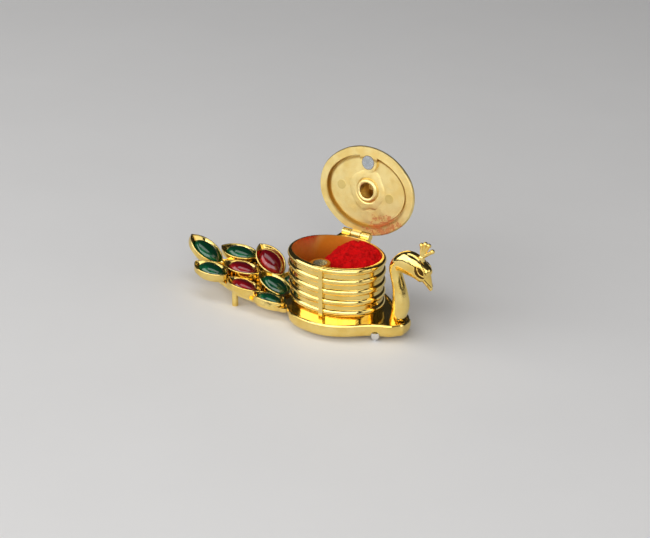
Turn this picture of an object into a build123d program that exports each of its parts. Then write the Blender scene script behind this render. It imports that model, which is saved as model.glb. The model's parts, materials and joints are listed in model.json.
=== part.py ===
from build123d import *
import math
import os

# Peacock kumkum box, millimetres. While building, the cup's upright axis is x = y = 0 and the table is z = 0.
# +X points to the head, +Y to the lid hinge, +Z up. The last step moves everything so that the origin is the
# middle of the bounding box's footprint.

# Fits
PRESS = 0.02  # radial room of a pressed or screwed joint
RUNNING = 0.05  # radial room of the turning lid knuckle
SEAT = 0.05  # room between the closed lid and the rim
SIDE_PLAY = 0.3  # room on each side of the lid knuckle
STONE_ROOM = 0.1  # room round a stone in its pocket
SOLDER_ROOM = 0.1  # room between the tray's sides and the tail leaves beside them
HEAP_ROOM = 0.35  # room between the powder and what it lies against
CUT = 1.0  # how far a cutter runs past the face it leaves
BEYOND = 200.0  # a cutter larger than the whole box

# Cup
CUP_HEIGHT = 21.2
CUP_A = 18.95
CUP_B = 14.9
CUP_END_R = 12.6  # radius of the oval's ends
CUP_CORE = 9.0  # how far in from the oval the cup's profiles run
CUP_WALL = 1.55
CUP_FLOOR = 1.5
CUP_DRAFT = 0.5
RIM_EDGE = 1.15  # how far the rounded rim draws in at its top edge
RIB_DEPTH = 0.8
RIB_HALF = 1.35
RIM_BAND = 1.2
FIRST_RIB = 5.35
RIB_PITCH = 4.1
RIB_COUNT = 4
STRAP_WIDTH = 1.7
STRAP_X = 2.7
STRAP_THICK = 1.2
STRAP_PROUD = 0.1
CAVITY_ROUND = 2.0

# Base tray; its nose carries the neck and its flat tail end carries the tail
TRAY_UNDERSIDE = 1.5
TRAY_THICK = 4.3
TRAY_LIP = 1.0
LIP_WIDTH = 1.3
WELL_DRAFT = 0.1
NECK_GAP = 6.65  # from the cup's head end to the neck's middle
TRAY_END_GAP = 1.25  # from the cup's tail end to the tray's
TRAY_END_HALF = 6.0
FLOOR_PLATE = 1.4
RECESS_ENDS = 2.45  # how far the recess below stays inside the cup's outline, at the ends and sides
RECESS_SIDES = 1.4
KEEL_ROUND = [(2.2, 0.0), (0.9, 0.6), (0.3, 1.7), (0.0, 3.1)]  # inset, height above the underside
LIP_ROUND = [(0.0, 0.5), (0.15, 0.16), (0.45, 0.0)]  # inset, depth below the lip

# Lid, measured in the closed position
LID_OVER_ENDS = 1.25
LID_OVER_SIDES = 1.75
LID_EDGE = 1.6
LID_EDGE_UNDER = 0.4
LID_EDGE_OVER = 0.5
LID_DOME = 3.8
LID_CORE = 11.0  # how far in from the edge the dome rises
DOME_SHOULDER = (0.45, 0.72)  # share of that way, share of the dome's height there
RING_WIDTH = 3.2
RECESS_DEPTH = 1.1
GROOVE_DEPTH = 1.7  # groove round the recessed panel, measured from the ring
GROOVE_WIDTH = 0.8
GROOVE_LEAN = 0.15  # how far the groove's walls lean, for each unit of height
LID_BOSS_ROOT = 0.3
LID_BOSS_REACH = 0.5
OPEN_ANGLE = 97.0

# Hinge
HINGE_X = -2.4  # the knuckles sit a little to the tail side
HINGE_GAP = 0.7  # from the cup's back to the knuckles
KNUCKLE_R = 1.4
PIN_R = 0.6
TAB_WIDTH = 3.9
LUG_WIDTH = 3.6
LUG_DROP = 4.5
LUG_ROOT = 3.5  # how far a lug's web starts inside the oval
LUG_TANGENT = 37.0  # below level, where the lug's web leaves its knuckle
RELIEF = 0.35

# Magnets
MAGNET_R = 2.5
MAGNET_T = 1.5
MAGNET_IN = 2.55  # from the cup's inner wall to the magnets' middle
BOSS_WALL = 1.1
CUP_BOSS_DROP = 0.3
CUP_BOSS_HEIGHT = 4.5
MAGNET_PROUD = 0.1

# Lid knob, swaged through the lid
KNOB_BORE_R = 2.9
KNOB_WALL = 0.9
KNOB_COLLAR = 0.8  # how far the swaged end and the shoulder stand out past the tube
KNOB_FLARE = 0.7
KNOB_BULGE = 1.25  # rounding of the swaged end, in flare heights
KNOB_R = 4.8
KNOB_HEIGHT = 6.5
KNOB_WAIST = 2.6
KNOB_SHOULDER = 5.5
KNOB_SHOULDER_R = 2.3
KNOB_BORE_TOP = 3.0

# Screws from below
SCREW_R = 1.25
SCREW_HOLE_R = 1.4
SCREW_HEAD_R = 1.8
SCREW_HEAD = 1.5
HEAD_ROOM = 0.3
CUP_SCREW_BOSS_WALL = 1.35
CUP_SCREW_BOSS = 3.0
SCREW_BITE = 3.4
NECK_SCREW_BITE = 4.0
SCREW_TIP_ROOM = 0.4
DRIVE_R = 0.7
DRIVE_DEPTH = 0.8

# Feet under the nose, behind the neck's middle
FOOT_BACK = 4.6
FOOT_Y = 7.0
FOOT_R = 1.8
FOOT_TIP_R = 0.7
FOOT_SHANK = 1.9

# Neck from its foot on the tray, bending over into the head, and the beak below the face. Each oval section:
# (ahead, up, way of its outer side in degrees from ahead to up, half depth, half width)
NECK_STATIONS = [
    (0.1, 0.0, 180, 2.8, 2.75),
    (0.45, 1.7, 180, 2.9, 2.85),
    (1.6, 6.4, 180, 3.25, 3.15),
    (1.5, 11.4, 180, 2.85, 2.75),
    (0.2, 16.9, 180, 2.45, 2.35),
    (-0.6, 21.0, 155, 2.5, 2.4),
    (2.3, 24.3, 90, 3.95, 3.05),
    (7.0, 24.0, 73, 4.5, 3.3),
    (10.6, 22.0, 57, 3.7, 2.9),
    (12.2, 20.2, 46, 2.1, 1.8),
]
BEAK_STATIONS = [
    NECK_STATIONS[-1],
    (13.0, 18.6, 40, 1.45, 1.3),
    (13.65, 17.25, 37, 1.0, 0.9),
    (14.2, 16.1, 36, 0.5, 0.45),
]
MOUTH_GAP = 0.3
MOUTH_LONG = 2.6
MOUTH_WIDE = 8.0
MOUTH_CORE_R = 0.35  # core of the beak left whole between the mouth lines
EYE_AT = (11.1, 2.6, 23.7)  # ahead, aside, up
EYE_LONG = 1.6
EYE_HIGH = 0.85
EYE_RAISED = 0.7
EYE_TURN = 45.0
EYE_SPLAY = 25.0

# Crest: fan of rods with ball ends, as (ahead, up) of each ball from the crest's foot
CREST_FOOT = (10.0, 27.2)  # ahead, up from the neck's foot
CREST_SOCKET = 1.6
CREST_STEM = 0.6
CREST_STEM_R = 1.1
CREST_BALLS = [(-0.1, 5.3), (1.4, 6.0), (2.8, 5.7), (4.3, 3.8)]
CREST_BALL_R = 0.85
CREST_ROD_R = 0.65

# Tail leaves: stones and their bezels
STONE_LONG = 12.2
STONE_WIDE = 7.8
STONE_GIRDLE = 1.5
STONE_SHOULDER = 0.2
STONE_DOME = 2.8
DOME_STEPS = [(0.2, 0.55), (0.45, 0.88), (0.7, 1.0)]  # inset as share of half the width, share of the dome
LEAF_SLENDER = 1.3  # growth in length for each unit of growth in width
BEZEL_WALL = 1.15
BEZEL_EDGE = 0.3  # width of the rim's top
BEZEL_RISE = 1.2  # rim above the leaf plane
BEZEL_WAIST = 0.75  # depth below the leaf plane where the side starts to draw in
BEZEL_DEPTH = 2.5
BEZEL_KEEL = 1.2  # how far the bezel's bottom draws in under the stone
BEZEL_TUCK = 0.9  # how far the side draws in at the turn above the bottom
BEZEL_TURN = 0.5  # height of that turn
BEZEL_POINT = 0.75  # how far the bezel is drawn out at its tip
TAIL_POINT = 1.3  # the same at the tail's tip
TURN_POINT = 0.3  # share of the point at the turn
FLARE_POINT = 0.6  # share of the point inside the rim
FLARE_FOOT = 0.1  # where the pocket starts to open out to the rim, above the leaf plane
BEAD_R = 0.8
BEAD_SUNK = 0.4

# The leaf plane rises outward from the tray's tail end
TAIL_SLOPE = 11.3
TAIL_START = 6.5  # the leaf plane is LEAF_DROP below the tray's lip at this distance out
LEAF_DROP = 1.1
WEB_DROP = 1.5  # web plate below the leaf plane
WEB_PLATE = 1.5

# Each leaf: (row, out beyond the rows before it, side, gap across beyond a stone, lift off the leaf plane,
# turn to +Y, pitch up outward, roll of its face to +Y)
LEAVES = {
    "leaf_stone_root_mid": (0, 7.2, 0, 0.0, 0.0, 0.0, 24.0, 0.0),
    "leaf_stone_root_near": (0, 3.4, -1, 1.8, -0.2, 12.0, 0.0, 15.0),
    "leaf_stone_root_far": (0, 3.4, 1, 1.8, -0.2, -12.0, 0.0, -15.0),
    "leaf_stone_middle_mid": (1, 10.0, 0, 0.0, 0.0, 0.0, 4.0, 3.0),
    "leaf_stone_middle_near": (1, 2.5, -1, 1.7, 0.0, 8.0, 4.0, 12.0),
    "leaf_stone_middle_far": (1, 3.4, 1, 1.2, 2.9, 17.0, 31.0, -9.0),
    "leaf_stone_tip_mid": (2, 14.5, 0, 0.0, 0.0, 0.0, 31.0, 0.0),
    "leaf_stone_tip_near": (2, 5.2, -1, 1.7, -0.2, 8.0, 4.0, 4.0),
    "leaf_stone_tip_far": (2, 5.2, 1, 1.2, -0.2, -8.0, 6.0, -3.0),
}
TAIL_TIP = "leaf_stone_tip_mid"
BEADED = (TAIL_TIP, "leaf_stone_tip_near", "leaf_stone_tip_far")
# One side of the web plate past the tray's end, as (row, out, half width beyond a stone)
WEB_SIDE = [(0, 4.0, 2.2), (1, 3.6, 4.2), (2, 5.4, 1.2)]
WEB_TIP = 10.2
# Root hull under the first leaves: (height over the tray's underside, back along the tray, out, half width
# beyond a stone)
ROOT_HULL = [(0.3, 6.2, 3.8, 2.2), (1.9, 7.7, 8.3, 4.6), (3.9, 8.2, 11.8, 5.5)]
ROOT_ROUND = 4.0

# Tail legs below the middle row
LEG_OUT = 5.4
LEG_ASIDE = 3.4
LEG_R = 1.15
LEG_SUNK = 1.0  # how deep a leg is let into the web plate

# Kumkum powder, heaped towards the head side; its ridge runs from the hinge side to the front
HEAP_X = 5.0
HEAP_Y = 8.0
HEAP_TOP = 0.1  # below the rim
HEAP_R = 40.0
RIDGE_BACK = (-4.0, 12.0)
RIDGE_FRONT = (4.0, -9.0)
RIDGE_DROP = 1.0
HEAP_SLOPE = 50.0

# Places that follow from the sizes above
TRAY_FLOOR = TRAY_UNDERSIDE + TRAY_THICK
TRAY_RIM = TRAY_FLOOR + TRAY_LIP
RIM = TRAY_FLOOR + CUP_HEIGHT
LID_UNDER = RIM + SEAT
LID_A = CUP_A + LID_OVER_ENDS
LID_B = CUP_B + LID_OVER_SIDES
RING_B = LID_B - RING_WIDTH
HINGE_Y = CUP_B + HINGE_GAP + KNUCKLE_R
HINGE = Axis((0, HINGE_Y, RIM), (1, 0, 0))
MAGNET_Y = -(CUP_B - CUP_WALL - MAGNET_IN)
BOSS_R = MAGNET_R + BOSS_WALL
CUP_BOSS_TOP = RIM - CUP_BOSS_DROP
KNOB_TUBE_R = KNOB_BORE_R + KNOB_WALL
KNOB_COLLAR_R = KNOB_TUBE_R + KNOB_COLLAR
NECK_X = CUP_A + NECK_GAP
TRAY_END_X = -(CUP_A + TRAY_END_GAP)
TAIL_RISE = math.tan(math.radians(TAIL_SLOPE))
# One side of the tray's outline at the lip: round the cup, then in to the nose
TRAY_SIDE = [
    (-CUP_A + 7.95, CUP_B + 0.3),
    (-4.0, CUP_B + 3.2),
    (2.0, CUP_B + 3.8),
    (CUP_A - 9.95, CUP_B + 2.3),
    (CUP_A - 3.95, CUP_B - 1.4),
    (NECK_X - 7.3, 10.7),
    (NECK_X - 4.6, 8.7),
    (NECK_X - 1.6, 7.3),
    (NECK_X + 1.4, 5.8),
    (NECK_X + 3.8, 3.1),
    (NECK_X + 4.6, 0.0),
]

BOTTOM = (Align.CENTER, Align.CENTER, Align.MIN)


def upright(radius, bottom, top, x=0.0, y=0.0):
    """Upright cylinder between two heights."""
    return Pos(x, y, bottom) * Cylinder(radius, top - bottom, align=BOTTOM)


def along_x(radius, x0, x1, y, z):
    """Cylinder lying along X between two places."""
    return Pos(x0, y, z) * Rot(0, 90, 0) * Cylinder(radius, x1 - x0, align=BOTTOM)


def section(runs):
    """Face in the XZ plane from runs of (radius, height) points: two for a line, three for an arc."""
    edges = []
    for points in runs:
        places = [(r, 0, z) for r, z in points]
        edges.append(ThreePointArc(*places) if len(places) == 3 else Line(*places))
    return make_face(edges)


def oval_arcs(a, b, end_r):
    """Four tangent arcs of an oval, each as (centre x, centre y, radius, start angle, sweep)."""
    in_a, in_b = a - end_r, b - end_r
    offset = (in_a**2 - in_b**2) / (2 * in_b)
    half_side = math.degrees(math.atan2(in_a, offset))
    half_end = 90 - half_side
    return [
        (in_a, 0, end_r, -half_end, 2 * half_end),
        (0, -offset, b + offset, 90 - half_side, 2 * half_side),
        (-in_a, 0, end_r, 180 - half_end, 2 * half_end),
        (0, offset, b + offset, 270 - half_side, 2 * half_side),
    ]


def oval_prism(arcs, inset, bottom, top):
    """Upright prism on an oval drawn in by an inset."""
    edges = [CenterArc((x, y), radius - inset, start, sweep) for x, y, radius, start, sweep in arcs]
    return Pos(0, 0, bottom) * extrude(make_face(edges), top - bottom, dir=(0, 0, 1))


def oval_solid(arcs, runs):
    """Oval solid with one profile all round: runs of (inset, height) from its core's top to its bottom."""
    top, bottom = runs[0][0], runs[-1][-1]
    solid = oval_prism(arcs, top[0], bottom[1], top[1])
    for x, y, radius, start, sweep in arcs:
        profile = section([[(radius - inset, z) for inset, z in points] for points in [*runs, (bottom, top)]])
        solid += Pos(x, y, 0) * Rot(0, 0, start) * revolve(profile, Axis.Z, sweep)
    return solid


def valley(z):
    """Inset of the cup's plain wall between the ribs."""
    return RIB_DEPTH + CUP_DRAFT * (RIM - z) / CUP_HEIGHT


def cup_outer():
    """Cup without its cavity: rounded rim band, ribs and a plain foot band."""
    last = (RIM_EDGE, RIM)
    runs = [((CUP_CORE, RIM), last)]
    centres = [RIM - RIM_BAND] + [RIM - FIRST_RIB - i * RIB_PITCH for i in range(RIB_COUNT)]
    for z in centres:
        top = z + RIB_HALF
        if z != centres[0]:
            runs.append((last, (valley(top), top)))
            last = (valley(top), top)
        low = (valley(z - RIB_HALF), z - RIB_HALF)
        runs.append((last, (valley(z) - RIB_DEPTH, z), low))
        last = low
    foot = (valley(TRAY_FLOOR), TRAY_FLOOR)
    runs += [(last, foot), (foot, (CUP_CORE, TRAY_FLOOR))]
    return oval_solid(CUP_OVAL, runs)


def cup_cavity(room=0.0):
    """Hollow of the cup, or the same drawn in by some room."""
    top = CUP_WALL + room
    low = top + CUP_DRAFT
    floor = TRAY_FLOOR + CUP_FLOOR + room
    turn = CAVITY_ROUND * (1 - math.sqrt(0.5))
    toe = (low + CAVITY_ROUND, floor)
    heel = (low, floor + CAVITY_ROUND)
    runs = [
        ((CUP_CORE, RIM + CUT), (top, RIM + CUT)),
        ((top, RIM + CUT), (top, RIM)),
        ((top, RIM), heel),
        (heel, (low + turn, floor + turn), toe),
        (toe, (CUP_CORE, floor)),
    ]
    return oval_solid(CUP_OVAL, runs)


def lug_span(side):
    """Start and end of a cup lug along X."""
    inner = TAB_WIDTH / 2 + SIDE_PLAY
    ends = sorted((HINGE_X + side * inner, HINGE_X + side * (inner + LUG_WIDTH)))
    return ends[0], ends[1]


def cup_lug(side):
    """Hinge lug of the cup: knuckle on a web running down the back wall."""
    x0, x1 = lug_span(side)
    root = CUP_B - LUG_ROOT
    tangent = math.radians(LUG_TANGENT)
    web = Polygon(
        (root, RIM - SEAT),
        (HINGE_Y, RIM - SEAT),
        (HINGE_Y + KNUCKLE_R * math.cos(tangent), RIM - KNUCKLE_R * math.sin(tangent)),
        (CUP_B - RIB_DEPTH, RIM - LUG_DROP),
        (root, RIM - LUG_DROP),
        align=None,
    )
    section = Plane(origin=(x0, 0, 0), x_dir=(0, 1, 0), z_dir=(1, 0, 0))
    return extrude(section * web, x1 - x0, dir=(1, 0, 0)) + along_x(KNUCKLE_R, x0, x1, HINGE_Y, RIM)


def magnet_boss(bottom, top, wall_y, room=0.0):
    """U-shaped boss round a magnet's place, running out to the wall in front of it, or the same with room."""
    radius = BOSS_R + room
    arm = Box(2 * radius, abs(wall_y - MAGNET_Y), top - bottom, align=BOTTOM)
    return Pos(0, (wall_y + MAGNET_Y) / 2, bottom) * arm + upright(radius, bottom, top, y=MAGNET_Y)


def make_cup():
    """Ribbed oval cup with hinge lugs, front strap, magnet boss and screw boss."""
    _, offset, side_r, *_ = CUP_OVAL[-1]
    front = offset - math.sqrt(side_r**2 - STRAP_X**2)
    strap = Box(STRAP_WIDTH, STRAP_THICK, CUP_HEIGHT - RIM_BAND, align=BOTTOM)
    cup = cup_outer() + Pos(STRAP_X, front + STRAP_THICK / 2 - STRAP_PROUD, TRAY_FLOOR) * strap
    cup = cup + cup_lug(-1) + cup_lug(1) - cup_cavity()
    in_wall = oval_prism(CUP_OVAL, (CUP_WALL + RIB_DEPTH) / 2, TRAY_FLOOR, RIM)
    cup += magnet_boss(CUP_BOSS_TOP - CUP_BOSS_HEIGHT, CUP_BOSS_TOP, -CUP_B) & in_wall
    cup -= upright(MAGNET_R + PRESS, CUP_BOSS_TOP - MAGNET_T, RIM, y=MAGNET_Y)
    floor = TRAY_FLOOR + CUP_FLOOR
    cup += upright(SCREW_R + CUP_SCREW_BOSS_WALL, floor - CUP_FLOOR / 2, floor + CUP_SCREW_BOSS)
    cup -= upright(SCREW_R + PRESS, TRAY_FLOOR - CUT, TRAY_FLOOR + SCREW_BITE + SCREW_TIP_ROOM)
    return cup - along_x(PIN_R + PRESS, lug_span(-1)[0] - CUT, lug_span(1)[1] + CUT, HINGE_Y, RIM)


def make_lid_closed():
    """Lid in the closed position: domed top, flat ring, groove and panel below, magnet boss and hinge tab."""
    recess = LID_UNDER + RECESS_DEPTH
    edge_top = LID_UNDER + LID_EDGE
    top = LID_UNDER + LID_DOME
    under_edge = (LID_EDGE_UNDER, LID_UNDER)
    over_edge = (LID_EDGE_OVER, edge_top)
    shoulder = (LID_CORE * DOME_SHOULDER[0], edge_top + (LID_DOME - LID_EDGE) * DOME_SHOULDER[1])
    ring = (RING_WIDTH, LID_UNDER)
    groove_out = (RING_WIDTH + GROOVE_DEPTH * GROOVE_LEAN, LID_UNDER + GROOVE_DEPTH)
    groove_in = (groove_out[0] + GROOVE_WIDTH, groove_out[1])
    panel = (groove_in[0] + (GROOVE_DEPTH - RECESS_DEPTH) * GROOVE_LEAN, recess)
    runs = [
        ((LID_CORE, top), shoulder, over_edge),
        (over_edge, (0, LID_UNDER + LID_EDGE / 2), under_edge),
        (under_edge, ring),
        (ring, groove_out),
        (groove_out, groove_in),
        (groove_in, panel),
        (panel, (LID_CORE, recess)),
    ]
    lid = oval_solid(LID_OVAL, runs)
    lid += magnet_boss(LID_UNDER, LID_UNDER + GROOVE_DEPTH + LID_BOSS_ROOT, -RING_B - LID_BOSS_REACH)
    for side in (-1, 1):
        x0, x1 = lug_span(side)
        lid -= along_x(KNUCKLE_R + RELIEF, x0 - SIDE_PLAY, x1 + SIDE_PLAY, HINGE_Y, RIM)
    tab = (HINGE_X - TAB_WIDTH / 2, HINGE_X + TAB_WIDTH / 2)
    lid += along_x(KNUCKLE_R, *tab, HINGE_Y, RIM)
    bridge = Box(TAB_WIDTH, 2 * KNUCKLE_R, KNUCKLE_R - SEAT, align=BOTTOM)
    lid += Pos(HINGE_X, HINGE_Y - KNUCKLE_R, LID_UNDER) * bridge
    lid -= along_x(PIN_R + RUNNING, *tab, HINGE_Y, RIM)
    lid -= upright(MAGNET_R + PRESS, LID_UNDER - CUT, LID_UNDER + MAGNET_T, y=MAGNET_Y)
    return lid - upright(KNOB_TUBE_R + PRESS, LID_UNDER - CUT, top + CUT)


def make_knob_closed():
    """Hollow knob on top of the lid, its tube swaged outward against the lid's recess."""
    floor = LID_UNDER + RECESS_DEPTH
    top = LID_UNDER + LID_DOME
    bore_end = (KNOB_BORE_R, top + KNOB_BORE_TOP)
    bore_middle = (0, top + KNOB_BORE_TOP)
    lip = (KNOB_BORE_R, floor - KNOB_FLARE)
    bulge = ((KNOB_BORE_R + KNOB_COLLAR_R) / 2, floor - KNOB_FLARE * KNOB_BULGE)
    swage = (KNOB_COLLAR_R, floor)
    neck_low = (KNOB_TUBE_R, floor)
    neck_high = (KNOB_TUBE_R, top)
    collar = (KNOB_COLLAR_R, top)
    shoulder = (KNOB_SHOULDER_R, top + KNOB_SHOULDER)
    peak = (0, top + KNOB_HEIGHT)
    runs = [
        (bore_end, lip),
        (lip, bulge, swage),
        (swage, neck_low),
        (neck_low, neck_high),
        (neck_high, collar),
        (collar, (KNOB_R, top + KNOB_WAIST), shoulder),
        (shoulder, peak),
        (peak, bore_middle),
        (bore_middle, bore_end),
    ]
    return revolve(section(runs), Axis.Z)


def opened(shape):
    """Swing a closed lid piece to the open position."""
    return shape.rotate(HINGE, -OPEN_ANGLE)


def tray_outline(inset):
    """Boat outline of the tray drawn in by an inset: bulge round the cup, nose, flat tail end."""
    drawn = []
    for i, (x, y) in enumerate(TRAY_SIDE):
        behind = TRAY_SIDE[i - 1] if i else (TRAY_END_X, TRAY_END_HALF)
        if i + 1 < len(TRAY_SIDE):
            run_x, run_y = TRAY_SIDE[i + 1][0] - behind[0], TRAY_SIDE[i + 1][1] - behind[1]
        else:
            run_x, run_y = 0.0, -1.0
        run = math.hypot(run_x, run_y)
        drawn.append((x + inset * run_y / run, y - inset * run_x / run))
    corner = (TRAY_END_X, TRAY_END_HALF - inset)
    start = (drawn[0][0] - corner[0], drawn[0][1] - corner[1])
    edges = [Line((corner[0], -corner[1]), corner)]
    for side in (-1, 1):
        bulge = [(x, side * y) for x, y in drawn]
        edges.append(Line((corner[0], side * corner[1]), bulge[0]))
        edges.append(Spline(*bulge, tangents=[(start[0], side * start[1]), (0, -side)]))
    return make_face(edges)


def stack(*layers):
    """Solid through like outlines given as (face, height)."""
    return loft([Pos(0, 0, height) * face for face, height in layers], ruled=True)


def make_tray():
    """Boat-shaped tray with a raised lip, a recess below the cup and sockets for the feet."""
    keel = [(tray_outline(inset), TRAY_UNDERSIDE + up) for inset, up in KEEL_ROUND]
    lip = [(tray_outline(inset), TRAY_RIM - down) for inset, down in LIP_ROUND]
    tray = stack(*keel, *lip)
    well = [(tray_outline(LIP_WIDTH + WELL_DRAFT), TRAY_FLOOR)]
    well += [(tray_outline(LIP_WIDTH - inset), TRAY_RIM - down) for inset, down in LIP_ROUND]
    well.append((tray_outline(LIP_WIDTH - LIP_ROUND[-1][0]), TRAY_RIM + CUT))
    ahead = Box(BEYOND, BEYOND, BEYOND, align=(Align.MIN, Align.CENTER, Align.CENTER))
    tray -= stack(*well) & (Pos(TRAY_END_X + LIP_WIDTH, 0, 0) * ahead)
    plate_low = TRAY_FLOOR - FLOOR_PLATE
    recess = Pos(0, 0, TRAY_UNDERSIDE - CUT) * Ellipse(CUP_A - RECESS_ENDS, CUP_B - RECESS_SIDES)
    tray -= extrude(recess, plate_low - TRAY_UNDERSIDE + CUT)
    tray -= upright(SCREW_HEAD_R + HEAD_ROOM, TRAY_UNDERSIDE - CUT, plate_low, x=NECK_X)
    for x in (0, NECK_X):
        tray -= upright(SCREW_HOLE_R, plate_low - CUT, TRAY_FLOOR + CUT, x=x)
    for side in (-1, 1):
        socket_top = TRAY_UNDERSIDE + FOOT_SHANK
        tray -= upright(FOOT_R + PRESS, 0, socket_top, x=NECK_X - FOOT_BACK, y=side * FOOT_Y)
    return tray


def make_feet():
    """Two turned cone feet under the nose, each with a shank in the tray."""
    foot = Cone(FOOT_TIP_R, FOOT_R, TRAY_UNDERSIDE, align=BOTTOM)
    foot += upright(FOOT_R, TRAY_UNDERSIDE, TRAY_UNDERSIDE + FOOT_SHANK)
    return [Pos(NECK_X - FOOT_BACK, side * FOOT_Y, 0) * foot for side in (-1, 1)]


def make_screw(x, bite):
    """Pan screw from below through the tray's floor plate."""
    seat = TRAY_FLOOR - FLOOR_PLATE
    low = seat - SCREW_HEAD
    screw = upright(SCREW_HEAD_R, low, seat, x=x) + upright(SCREW_R, seat, TRAY_FLOOR + bite, x=x)
    return screw - upright(DRIVE_R, low - CUT, low + DRIVE_DEPTH, x=x)


def on_neck(ahead, up, aside=0.0):
    """Place measured from the middle of the neck's foot."""
    return Vector(NECK_X + ahead, aside, TRAY_FLOOR + up)


def neck_section(ahead, up, outer, deep, wide):
    """One oval section of the neck or beak."""
    way = (math.sin(math.radians(outer)), 0, -math.cos(math.radians(outer)))
    return Plane(origin=on_neck(ahead, up), x_dir=(0, 1, 0), z_dir=way) * Ellipse(wide, deep)


def make_neck():
    """Curved neck and head in one casting, with the mouth line, eyes and sockets for crest and screw."""
    neck = loft([neck_section(*station) for station in NECK_STATIONS])
    neck += loft([neck_section(*station) for station in BEAK_STATIONS])
    eye = scale(Sphere(1), by=(EYE_LONG, EYE_RAISED, EYE_HIGH))
    for side in (-1, 1):
        place = Pos(*on_neck(EYE_AT[0], EYE_AT[2], side * EYE_AT[1]))
        neck += place * Rot(0, EYE_TURN, 0) * Rot(0, 0, -side * EYE_SPLAY) * eye
    root, tip = (on_neck(ahead, up) for ahead, up, *_ in BEAK_STATIONS[-2:])
    mouth = Plane(origin=tip, x_dir=(0, 1, 0), z_dir=(tip - root).normalized())
    lines = Box(MOUTH_WIDE, MOUTH_GAP, 2 * MOUTH_LONG) - Cylinder(MOUTH_CORE_R, 4 * MOUTH_LONG)
    neck -= mouth * lines
    bore_top = TRAY_FLOOR + NECK_SCREW_BITE + SCREW_TIP_ROOM
    neck -= upright(SCREW_R + PRESS, TRAY_FLOOR - CUT, bore_top, x=NECK_X)
    foot = on_neck(*CREST_FOOT)
    socket_top = foot.Z + CREST_STEM + CREST_STEM_R
    return neck - upright(CREST_STEM_R + PRESS, foot.Z - CREST_SOCKET, socket_top, x=foot.X)


def make_crest():
    """Fan of crest feathers with ball ends on one stem let into the head."""
    foot = on_neck(*CREST_FOOT)
    hub = foot + Vector(0, 0, CREST_STEM)
    crest = upright(CREST_STEM_R, foot.Z - CREST_SOCKET, hub.Z, x=foot.X) + Pos(*hub) * Sphere(CREST_STEM_R)
    for ahead, up in CREST_BALLS:
        tip = foot + Vector(ahead, 0, up)
        rod = Cylinder(CREST_ROD_R, (tip - hub).length, align=BOTTOM)
        crest += Plane(origin=hub, x_dir=(0, 1, 0), z_dir=(tip - hub).normalized()) * rod
        crest += Pos(*tip) * Sphere(CREST_BALL_R)
    return crest


def tail_out(row, out):
    """Distance from the tray's tail end to a place beyond some rows of stones."""
    return row * STONE_LONG + out


def leaf_height(out):
    """Height of the tail's leaf plane above the table, at a distance from the tray's tail end."""
    return TRAY_RIM - LEAF_DROP + TAIL_RISE * (out - TAIL_START)


def leaf_plane(name):
    """Plane of one leaf: x outward to its tip, z out of its face."""
    row, out, side, gap, lift, *angles = LEAVES[name]
    turn, pitch, roll = (math.radians(angle) for angle in angles)
    outward = Vector(-math.cos(turn) * math.cos(pitch), math.sin(turn) * math.cos(pitch), math.sin(pitch))
    across = Vector(-math.sin(turn), -math.cos(turn), 0)
    face = outward.cross(across)
    reach = tail_out(row, out)
    return Plane(
        origin=(TRAY_END_X - reach, side * (STONE_WIDE + gap), leaf_height(reach) + lift),
        x_dir=outward,
        z_dir=face * math.cos(roll) - across * math.sin(roll),
    )


def leaf_face(grow, point=0.0):
    """Leaf outline of two arcs, grown round the stone and drawn out at the tip."""
    back = -STONE_LONG / 2 - grow * LEAF_SLENDER
    tip = STONE_LONG / 2 + grow * LEAF_SLENDER + point
    half = STONE_WIDE / 2 + grow
    edges = [ThreePointArc((back, 0), (0, half), (tip, 0)), ThreePointArc((tip, 0), (0, -half), (back, 0))]
    return make_face(edges)


def make_stone(name):
    """One cabochon: straight girdle in the bezel, stepped dome above."""
    layers = [(leaf_face(0), -STONE_GIRDLE), (leaf_face(0), STONE_SHOULDER)]
    for inset, rise in DOME_STEPS:
        layers.append((leaf_face(-inset * STONE_WIDE / 2), STONE_DOME * rise))
    return leaf_plane(name) * stack(*layers)


def bezel_point(name):
    """How far a leaf's bezel is drawn out at its tip."""
    return TAIL_POINT if name == TAIL_TIP else BEZEL_POINT


def make_bezel(name):
    """Leaf-shaped bezel body without its pocket."""
    point = bezel_point(name)
    body = stack(
        (leaf_face(-BEZEL_KEEL), -BEZEL_DEPTH),
        (leaf_face(BEZEL_WALL - BEZEL_TUCK, point * TURN_POINT), BEZEL_TURN - BEZEL_DEPTH),
        (leaf_face(BEZEL_WALL, point), -BEZEL_WAIST),
        (leaf_face(BEZEL_WALL, point), BEZEL_RISE),
    )
    return leaf_plane(name) * body


def make_flare(name):
    """Dish of a bezel, opening out from the stone's edge to the rim."""
    foot = leaf_face(STONE_ROOM)
    rim = leaf_face(BEZEL_WALL - BEZEL_EDGE, bezel_point(name) * FLARE_POINT)
    return leaf_plane(name) * stack((foot, FLARE_FOOT), (rim, BEZEL_RISE), (rim, BEZEL_RISE + CUT))


def make_bead(name):
    """Small bead on the rim at a leaf's root."""
    root = -STONE_LONG / 2 - BEZEL_WALL * LEAF_SLENDER
    return leaf_plane(name) * Pos(root, 0, BEZEL_RISE + BEAD_R - BEAD_SUNK) * Sphere(BEAD_R)


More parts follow.
